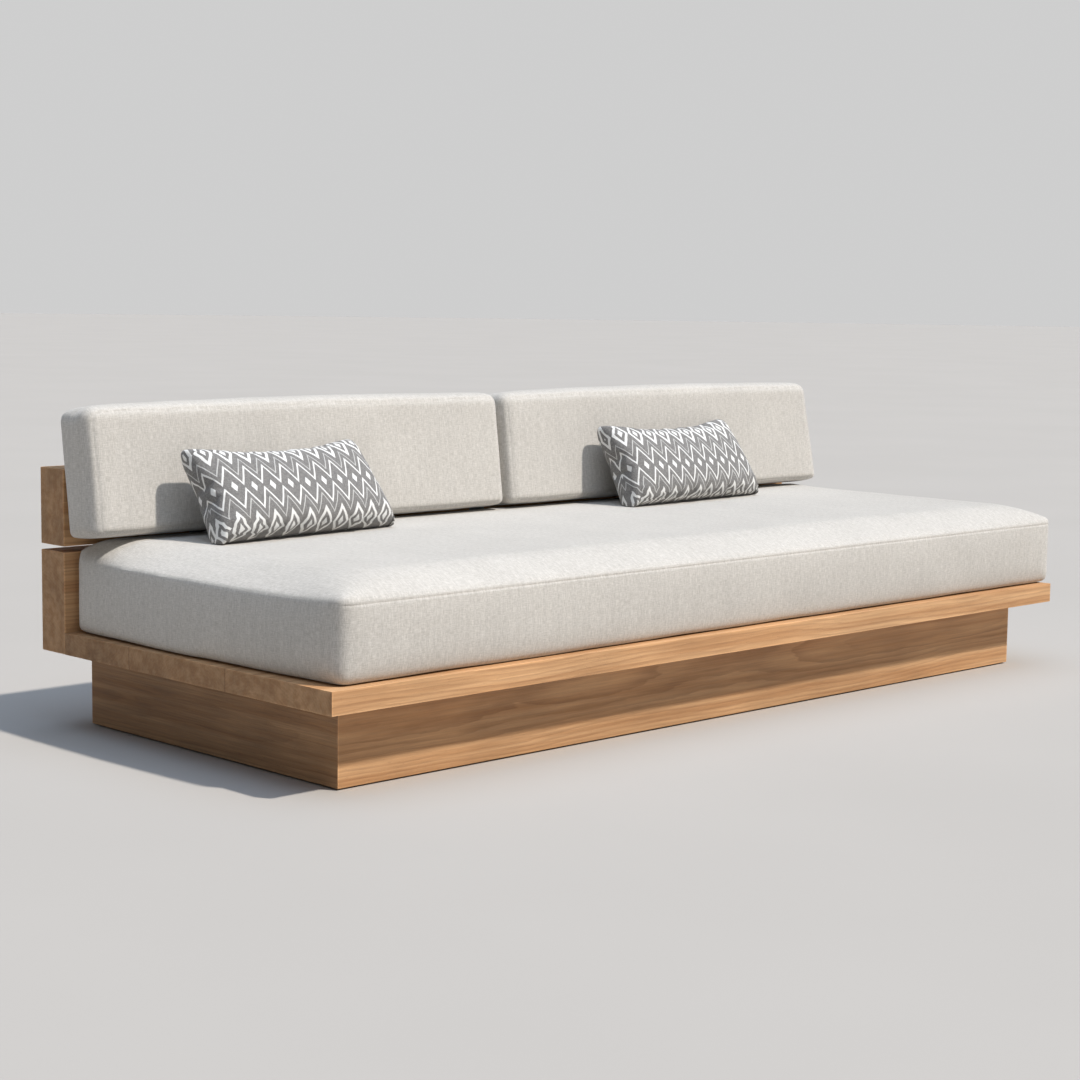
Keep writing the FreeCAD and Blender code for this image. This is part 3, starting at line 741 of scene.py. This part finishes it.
def flare_seat(points, low, high, above):
    """The left end flares towards the rear and bulges low down at its middle,
    and the right half grows towards the right end."""
    toward_rear = np.clip((points[:, 1] - low[1]) / (high[1] - low[1]), 0, 1)
    at_left = np.clip(0.5 - points[:, 0] / 0.2, 0, 1)
    sideways = 1 - (2 * toward_rear - 1) ** 2
    points[:, 0] -= SEAT_REAR_FLARE * toward_rear * at_left
    points[:, 0] -= SEAT_LEFT_BULGE * sideways * at_left * (1 - 0.7 * above)
    points[:, 0] += SEAT_RIGHT_FLARE * np.clip(points[:, 0] - high[0] + 1, 0, 1)


def seat_start(material):
    low, high = (np.array(corner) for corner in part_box("seat_mattress_cover"))
    low = low + np.array(SEAT_LOW_INSET)
    high = high - np.array(SEAT_HIGH_INSET)
    piece = soft_box("mattress", high - low, SEAT_RADII, SEAT_STEP, material, SEAT_PULL_IN)
    put(piece, Matrix.Translation(Vector((low + high) / 2)))
    points = read_points(piece.data)
    above = np.clip((points[:, 2] - SEAT_SEAM) / (high[2] - SEAT_SEAM), 0, 1)
    crown_seat(points, low, high, above)
    flare_seat(points, low, high, above)
    write_points(piece.data, points)
    seam = np.exp(-(((points[:, 2] - SEAT_SEAM) / (12 * MM)) ** 2))
    bottom = np.clip((low[2] + 20 * MM - points[:, 2]) / (12 * MM), 0, 1)
    hold(piece, np.clip(seam * 0.9 + bottom, 0, 1))
    return piece


def finish_seat(piece, swollen):
    """The swollen mattress, kept off the deck, the cushions and the back."""
    start = read_points(piece.data)
    write_points(piece.data, start + eased(swollen - start, SEAT_SWELL))
    subdivide(piece)
    soften(piece, 1.6 * MM, 7.0, 1)
    points = read_points(piece.data)
    points[:, 2] = np.maximum(points[:, 2], DECK_TOP + REST_GAP)
    points[:, 2] = eased_below(points[:, 2], SOFT_FLOOR - REST_GAP, SOFT_LIMIT)
    points[:, 1] = np.minimum(points[:, 1], BOARD_FRONT - SEAT_REAR_GAP)
    write_points(piece.data, points)
    sew(piece, [((0, 0, SEAT_SEAM), (0, 0, 1))], SEAT_SEAM_DEPTH, 0.0)
    smooth(piece)


# -------------------------------------------------------------- back cushions

REST_SIDES = ("left", "right")
REST_STEP = 11 * MM
REST_RADII = (31 * MM, 24 * MM, 27 * MM, 11 * MM)
REST_PULL_IN = 1.5 * MM
REST_END_INSET = 3 * MM
REST_FRONT_INSET = 3 * MM
REST_REAR_INSET = 2 * MM
REST_TOP_RISE = 2 * MM
REST_SWELL = (5 * MM, 7 * MM, 10 * MM)
REST_SEAM = 7 * MM
REST_SEAM_DEPTH = 0.9 * MM
REST_SEAM_HOLD = 8 * MM
REST_CROWN = 7 * MM
REST_FOOT_CAP = 2 * MM
REST_FOOT_SHARE = 0.15
REST_RIGHT_FLARE = 24 * MM
REST_FLARE_REACH = 0.4


def rest_frame(side):
    """The leaning frame of a back cushion: its front bottom left corner."""
    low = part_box(f"back_cushion_{side}_cover")[0]
    foot = SOFT_FLOOR + REST_GAP
    back = BOARD_FRONT - 2 * REST_GAP - (BOARD_TOP - foot) * math.tan(LEAN)
    front = back - REST_THICKNESS * math.cos(LEAN)
    origin = Vector((low[0], front, foot + REST_THICKNESS * math.sin(LEAN)))
    return Matrix.Translation(origin) @ Matrix.Rotation(-LEAN, 4, "X")


def rest_size(side):
    """Length, thickness and height of a back cushion in its leaning frame."""
    low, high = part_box(f"back_cushion_{side}_cover")
    drop = REST_THICKNESS * math.sin(LEAN)
    tall = (high[2] - low[2] - drop) / math.cos(LEAN)
    return high[0] - low[0], REST_THICKNESS, tall


def rest_start(side, material):
    """A cushion before it swells, held along its two seams. The right one
    grows wider towards its foot near the right end."""
    length, thick, tall = rest_size(side)
    foot_drop = REST_FOOT_SHARE * REST_THICKNESS * math.tan(LEAN)
    low = np.array((REST_END_INSET, REST_FRONT_INSET, -foot_drop))
    high = np.array((length - REST_END_INSET, thick - REST_REAR_INSET, tall + REST_TOP_RISE))
    name = "cushion_" + side
    piece = soft_box(name, high - low, REST_RADII, REST_STEP, material, REST_PULL_IN)
    put(piece, Matrix.Translation(Vector((low + high) / 2)))
    points = read_points(piece.data)
    if side == "right":
        near_end = np.clip(1 - (length - points[:, 0]) / REST_FLARE_REACH, 0, 1)
        foot = 1 - np.clip(points[:, 2] / tall, 0, 1)
        points[:, 0] += REST_RIGHT_FLARE * near_end * foot
        write_points(piece.data, points)
    rim = np.zeros(len(points))
    for level in (REST_SEAM, thick - REST_SEAM):
        rim = np.maximum(rim, np.exp(-(((points[:, 1] - level) / REST_SEAM_HOLD) ** 2)))
    hold(piece, np.clip(rim, 0, 1))
    return piece


def finish_rest(side, piece, swollen):
    """The swollen cushion with its crown and seams, set on the mattress."""
    length, thick, tall = rest_size(side)
    start = read_points(piece.data)
    move = eased(swollen - start, REST_SWELL)
    move[:, 2] = np.maximum(move[:, 2], -REST_FOOT_CAP)
    points = start + move
    share = np.clip(start[:, 2] / tall, 0, 1) ** 2
    points[:, 2] += REST_CROWN * share * (1 - (2 * start[:, 0] / length - 1) ** 2)
    write_points(piece.data, points)
    subdivide(piece)
    soften(piece, 1.5 * MM, 9.0, 2 + REST_SIDES.index(side))
    seams = [((0, level, 0), (0, 1, 0)) for level in (REST_SEAM, thick - REST_SEAM)]
    sew(piece, seams, REST_SEAM_DEPTH)
    points = read_points(piece.data)
    points[:, 1] = eased_below(points[:, 1], thick - 0.8 * MM, SOFT_LIMIT)
    write_points(piece.data, points)
    put(piece, rest_frame(side))
    points = read_points(piece.data)
    points[:, 2] = np.maximum(points[:, 2], SOFT_FLOOR + REST_GAP)
    write_points(piece.data, points)
    smooth(piece)


# ------------------------------------------------------------------- pillows

# The flat panels, and the filled pillow: length, thickness, height.
PILLOW_FLAT = (0.572, 0.262)
PILLOW_SIZE = (0.526, 0.124, 0.229)
PILLOW_CORNER = 34 * MM
PILLOW_STEP = 6 * MM
PILLOW_AIR = 12 * MM
PILLOW_TILTS = {"left": math.radians(29), "right": math.radians(26)}
PILLOW_SHIFT = -12 * MM
PILLOW_TURNS = {"left": math.radians(6.0), "right": math.radians(4.0)}
# How far the pattern's middle lies above the pillow's own.
PILLOW_MIDDLES = {"left": -2 * MM, "right": -19 * MM}
PILLOW_BEND = 20 * MM
PILLOW_FULLNESS = 0.62
PILLOW_SINK = 14 * MM
PILLOW_FOOT_ROUND = 4 * MM
PILLOW_TOP_SHARE = 0.96
PILLOW_SAG = 0.16
# The shares that stay of the hollows in the two long edges.
LOWER_HOLLOW = 0.10
UPPER_HOLLOW = 0.85


def panel_point(a, b, wide, tall):
    """A point of a flat panel with rounded corners, from -1 to 1 each way."""
    spot = np.array((a * wide / 2, b * tall / 2))
    inner = np.array((wide / 2, tall / 2)) - PILLOW_CORNER
    core = np.clip(spot, -inner, inner)
    away = spot - core
    length = np.linalg.norm(away)
    if length > 0:
        away = away * (np.abs(away).max() / length)
    return core + away


def pillow_start(side, material):
    """Two flat panels sewn at their edges, with a little air between. Also
    gives the index of each point by face, column and row."""
    wide, tall = PILLOW_FLAT
    columns = round(wide / PILLOW_STEP)
    rows = round(tall / PILLOW_STEP)
    points = []
    flats = []
    index = {}
    faces = []
    for face in (-1, 1):
        for j in range(rows + 1):
            for i in range(columns + 1):
                rim = i in (0, columns) or j in (0, rows)
                if rim and face == 1:
                    index[face, i, j] = index[-1, i, j]
                    continue
                a, b = 2 * i / columns - 1, 2 * j / rows - 1
                u, v = panel_point(a, b, wide, tall)
                index[face, i, j] = len(points)
                points.append((u, face * PILLOW_AIR * (1 - a**4) * (1 - b**4), v))
                flats.append((u, v, face))
        for j in range(rows):
            for i in range(columns):
                ring = [index[face, i + a, j + b] for a, b in ((0, 0), (1, 0), (1, 1), (0, 1))]
                faces.append(ring if face == -1 else ring[::-1])
    piece = new_piece("lumbar_pillow_" + side, points, faces, material)
    attribute = piece.data.attributes.new("flat", "FLOAT_VECTOR", "POINT")
    attribute.data.foreach_set("vector", np.array(flats).ravel())
    return piece, index, (columns, rows)


def straighten(points, index, counts):
    """The hollow that swelling leaves in the long edges, nearly all taken out
    of the lower one, which lies on the mattress, and some of the upper one."""
    columns, rows = counts
    rest = points[:, 2].copy()
    lows = np.array([rest[index[-1, i, 0]] for i in range(columns + 1)])
    highs = np.array([rest[index[-1, i, rows]] for i in range(columns + 1)])
    new_lows = lows.min() + LOWER_HOLLOW * (lows - lows.min())
    new_highs = highs.max() - UPPER_HOLLOW * (highs.max() - highs)
    for (_, i, _), vertex in index.items():
        share = (rest[vertex] - lows[i]) / (highs[i] - lows[i])
        points[vertex, 2] = new_lows[i] + share * (new_highs[i] - new_lows[i])
    return points


def lay_pattern(piece, points, index, counts):
    """The cloth's own coordinates: lengths along its surface from the middle."""
    columns, rows = counts
    flats = np.zeros((len(points), 3))
    for face in (-1, 1):
        lines = [[index[face, i, j] for j in range(rows + 1)] for i in range(columns + 1)]
        cells = np.array(lines)
        grid = points[cells]
        for axis, middle in ((0, columns // 2), (1, rows // 2)):
            steps = np.linalg.norm(np.diff(grid, axis=axis), axis=2)
            run = np.insert(np.cumsum(steps, axis=axis), 0, 0, axis=axis)
            flats[cells, axis] = run - np.take(run, [middle], axis=axis)
    piece.data.attributes["flat"].data.foreach_set("vector", flats.ravel())


def fill_pillow(points):
    """Fuller panels, a heavier foot, a narrower top and a bend backwards."""
    share = points[:, 2] / PILLOW_SIZE[2]
    half = PILLOW_SIZE[1] / 2
    full = np.clip(np.abs(points[:, 1]) / half, 0, 1) ** PILLOW_FULLNESS
    points[:, 1] = np.sign(points[:, 1]) * half * full
    points[:, 1] *= 1 + PILLOW_SAG * (1 - 2 * share)
    points[:, 0] *= 1 + (PILLOW_TOP_SHARE - 1) * share
    points[:, 1] += PILLOW_BEND * share**2


def middle_of(points):
    return (points.max(axis=0) + points.min(axis=0)) / 2


def place_pillow(side, piece):
    """Leans and turns a pillow, and presses its foot flat on the mattress."""
    turn = Matrix.Rotation(PILLOW_TURNS[side], 4, "Z")
    put(piece, turn @ Matrix.Rotation(-PILLOW_TILTS[side], 4, "X"))
    points = read_points(piece.data)
    low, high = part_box(f"pillow_{side}_cover")
    target = (np.array(low) + np.array(high)) / 2
    points += target - middle_of(points) + np.array((PILLOW_SHIFT, 0, 0))
    support = SOFT_FLOOR + REST_GAP
    points[:, 2] += support - PILLOW_SINK - points[:, 2].min()
    points[:, 2] = -eased_below(-points[:, 2], -support, PILLOW_FOOT_ROUND)
    write_points(piece.data, points)


def finish_pillow(side, piece, index, counts, swollen):
    scale = np.array(PILLOW_SIZE) / np.ptp(swollen, axis=0)
    points = straighten((swollen - middle_of(swollen)) * scale, index, counts)
    points[:, 2] -= points[:, 2].min()
    fill_pillow(points)
    write_points(piece.data, points)
    lay_pattern(piece, points, index, counts)
    subdivide(piece)
    place_pillow(side, piece)
    smooth(piece)


# --------------------------------------------------------------------- zips


def mesh_piece(name, mesh, material):
    """An object from an edited mesh, in the scene."""
    data = bpy.data.meshes.new(name)
    mesh.to_mesh(data)
    mesh.free()
    data.materials.append(material)
    piece = bpy.data.objects.new(name, data)
    bpy.context.scene.collection.objects.link(piece)
    return piece


def add_block(mesh, low, high):
    """A block with bevelled edges between two corners."""
    made = bmesh.ops.create_cube(mesh, size=1.0)["verts"]
    size = [b - a for a, b in zip(low, high)]
    for vertex in made:
        vertex.co = Vector([a + (c + 0.5) * d for a, c, d in zip(low, vertex.co, size)])
    edges = list({edge for vertex in made for edge in vertex.link_edges})
    bmesh.ops.bevel(mesh, geom=edges, offset=min(size) * 0.2, segments=1, affect="EDGES")


TOOTH_PITCH = 5 * MM
SLIDER_FROM = 8 * MM
SLIDER_TO = 16 * MM


def zip_track(name, start, end, face, level, tab, material):
    """Two tapes, a row of interlocked teeth and a slider, on a rear face. Only
    a track with a tab has a raised slider and a pull tab hanging from it."""
    mesh = bmesh.new()
    for side in (-1, 1):
        near, far = sorted((level + side * 1.2 * MM, level + side * 3.8 * MM))
        add_block(mesh, (start, face - 1.4 * MM, near), (end, face - 0.7 * MM, far))
    for step in range(int((end - start) / TOOTH_PITCH)):
        x = start + (step + 0.25) * TOOTH_PITCH
        lift = 0.5 * MM if step % 2 else -0.5 * MM
        low = (x, face - 1.6 * MM, level - 1.7 * MM + lift)
        high = (x + 3 * MM, face - 0.4 * MM, level + 1.7 * MM + lift)
        add_block(mesh, low, high)
    near, far = start + SLIDER_FROM, start + SLIDER_TO
    out = face + (1.4 * MM if tab else -0.2 * MM)
    add_block(mesh, (near, face - 1.2 * MM, level - 3.6 * MM), (far, out, level + 3.6 * MM))
    if tab:
        low = (near + 1 * MM, face + 0.2 * MM, level - 24 * MM)
        add_block(mesh, low, (far - 1 * MM, out, level - 3 * MM))
    return mesh_piece(name, mesh, material)


# ----------------------------------------------------------------- assembly

ZIP_MARGIN = 0.15
REST_ZIP_LEVEL = 60 * MM
SEAT_ZIP_OUT = 1.4 * MM
CLOTH_PRESSURE = 4.0
PILLOW_PRESSURE = 5.0


def declare(piece, body, nodes):
    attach(piece, body)
    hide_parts(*nodes)


def dress_seat(seat, swollen, zip_plastic):
    finish_seat(seat, swollen)
    declare(seat, "mattress", ["seat_mattress_cover", "seat_mattress_core"])
    low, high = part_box("seat_mattress_cover")
    span = (low[0] + ZIP_MARGIN, high[0] - ZIP_MARGIN)
    face = BOARD_FRONT - SEAT_REAR_GAP + SEAT_ZIP_OUT
    track = zip_track("mattress_zip", *span, face, (low[2] + high[2]) / 2, True, zip_plastic)
    declare(track, "mattress", ["seat_mattress_zip"])


def dress_rest(side, piece, swollen, zip_plastic):
    finish_rest(side, piece, swollen)
    body = "cushion_" + side
    node = "back_cushion_" + side
    declare(piece, body, [node + "_cover", node + "_core"])
    length, thick, _ = rest_size(side)
    span = (ZIP_MARGIN, length - ZIP_MARGIN)
    track = zip_track(body + "_zip", *span, thick, REST_ZIP_LEVEL, False, zip_plastic)
    put(track, rest_frame(side))
    declare(track, body, [node + "_zip"])


def dress_pillow(side, piece, index, counts, swollen):
    finish_pillow(side, piece, index, counts, swollen)
    nodes = [f"pillow_{side}_{part}" for part in ("cover", "insert", "zip")]
    declare(piece, "pillow_" + side, nodes)


def soft_goods():
    """Starts every soft piece, swells them all together, then finishes each."""
    plain = [plain_fabric(f"oatmeal_cloth_{seed}", seed) for seed in range(3)]
    zip_plastic = moulded_plastic("zip_plastic", rgb(150, 143, 132), rgb(170, 163, 152))
    seat = seat_start(plain[0])
    rests = {side: rest_start(side, plain[1 + i]) for i, side in enumerate(REST_SIDES)}
    pillows = {}
    for side in REST_SIDES:
        cloth = patterned_fabric("zigzag_cloth_" + side, PILLOW_MIDDLES[side])
        pillows[side] = pillow_start(side, cloth)
    for piece in (seat, *rests.values()):
        add_cloth(piece, CLOTH_PRESSURE, True)
    for piece, _, _ in pillows.values():
        add_cloth(piece, PILLOW_PRESSURE, False)
    pieces = [seat, *rests.values(), *(made[0] for made in pillows.values())]
    swollen = dict(zip((piece.name for piece in pieces), inflate(pieces)))
    dress_seat(seat, swollen[seat.name], zip_plastic)
    for side, piece in rests.items():
        dress_rest(side, piece, swollen[piece.name], zip_plastic)
    for side, (piece, index, counts) in pillows.items():
        dress_pillow(side, piece, index, counts, swollen[piece.name])


# ----------------------------------------------------------- light and camera

CAMERA_PLACE = Vector((-3.7572, -3.6644, 0.9665))
CAMERA_YAW = math.radians(44.34)
CAMERA_PITCH = math.radians(-6.55)
CAMERA_ROLL = math.radians(0.74)
CAMERA_LENS = 73.77
SUN_TRAVEL = Vector((-0.287, 0.522, -0.803))
SUN_STRENGTH = 3.95
SUN_WIDTH = math.radians(2.5)
SUN_COLOUR = (1.0, 0.94, 0.865)


def camera():
    """A camera turned by its yaw from +Y towards +X, then pitched and rolled."""
    ahead_x = math.sin(CAMERA_YAW) * math.cos(CAMERA_PITCH)
    ahead_y = math.cos(CAMERA_YAW) * math.cos(CAMERA_PITCH)
    forward = Vector((ahead_x, ahead_y, math.sin(CAMERA_PITCH)))
    level = Vector((math.cos(CAMERA_YAW), -math.sin(CAMERA_YAW), 0))
    top = level.cross(forward)
    right = level * math.cos(CAMERA_ROLL) + top * math.sin(CAMERA_ROLL)
    up = top * math.cos(CAMERA_ROLL) - level * math.sin(CAMERA_ROLL)
    data = bpy.data.cameras.new("camera")
    data.sensor_width = 36
    data.lens = CAMERA_LENS
    data.clip_end = 200
    made = bpy.data.objects.new("camera", data)
    made.matrix_world = Matrix((right, up, -forward)).transposed().to_4x4()
    made.location = CAMERA_PLACE
    bpy.context.scene.collection.objects.link(made)
    bpy.context.scene.camera = made


def key_light():
    data = bpy.data.lights.new("key", "SUN")
    data.energy = SUN_STRENGTH
    data.angle = SUN_WIDTH
    data.color = SUN_COLOUR
    made = bpy.data.objects.new("key", data)
    made.rotation_euler = SUN_TRAVEL.to_track_quat("-Z", "Y").to_euler()
    bpy.context.scene.collection.objects.link(made)


# The light from the sky by the sine of the height above the horizon, and the
# light of a wide soft box by the cosine of the angle from its middle.
HORIZON_BANDS = (
    (0.0, (0.62, 0.62, 0.62)),
    (0.15, (0.62, 0.62, 0.62)),
    (0.29, (0.06, 0.06, 0.06)),
)
SOFT_BOX_BANDS = (
    (0.72, (0.0, 0.0, 0.0)),
    (0.88, (0.60, 0.74, 0.95)),
)
SOFT_BOX_PLACE = (0.05, -0.10, 0.99)
SOFT_BOX_STRENGTH = 2.0


def vector_math(nodes, operation):
    made = nodes.new("ShaderNodeVectorMath")
    made.operation = operation
    return made


def sky_ramp(nodes, links, factor, bands):
    """A colour by a factor, from (place, colour) bands."""
    ramp = nodes.new("ShaderNodeValToRGB")
    links.new(factor, ramp.inputs["Fac"])
    elements = ramp.color_ramp.elements
    while len(elements) < len(bands):
        elements.new(0.5)
    for element, (place, colour) in zip(elements, bands):
        element.position = place
        element.color = (*colour, 1)
    return ramp.outputs["Color"]


def sky():
    """A pale band at the horizon, and a soft box above and to the front."""
    world = bpy.data.worlds.new("sky")
    bpy.context.scene.world = world
    world.use_nodes = True
    nodes, links = world.node_tree.nodes, world.node_tree.links
    direction = nodes.new("ShaderNodeTexCoord").outputs["Generated"]
    split = nodes.new("ShaderNodeSeparateXYZ")
    links.new(direction, split.inputs[0])
    horizon = sky_ramp(nodes, links, split.outputs[2], HORIZON_BANDS)
    toward = vector_math(nodes, "DOT_PRODUCT")
    links.new(direction, toward.inputs[0])
    toward.inputs[1].default_value = Vector(SOFT_BOX_PLACE).normalized()
    soft_box_light = sky_ramp(nodes, links, toward.outputs["Value"], SOFT_BOX_BANDS)
    stronger = vector_math(nodes, "SCALE")
    stronger.inputs["Scale"].default_value = SOFT_BOX_STRENGTH
    links.new(soft_box_light, stronger.inputs[0])
    total = vector_math(nodes, "ADD")
    links.new(horizon, total.inputs[0])
    links.new(stronger.outputs["Vector"], total.inputs[1])
    links.new(total.outputs["Vector"], nodes["Background"].inputs["Color"])


FLOOR_REACH = 60.0


def floor():
    mesh = bmesh.new()
    bmesh.ops.create_circle(mesh, cap_ends=True, segments=96, radius=FLOOR_REACH)
    made = mesh_piece("floor", mesh, floor_paint("floor_paint"))


bpy.context.scene.view_settings.view_transform = "Standard"
dress_frame()
soft_goods()
camera()
key_light()
sky()
floor()
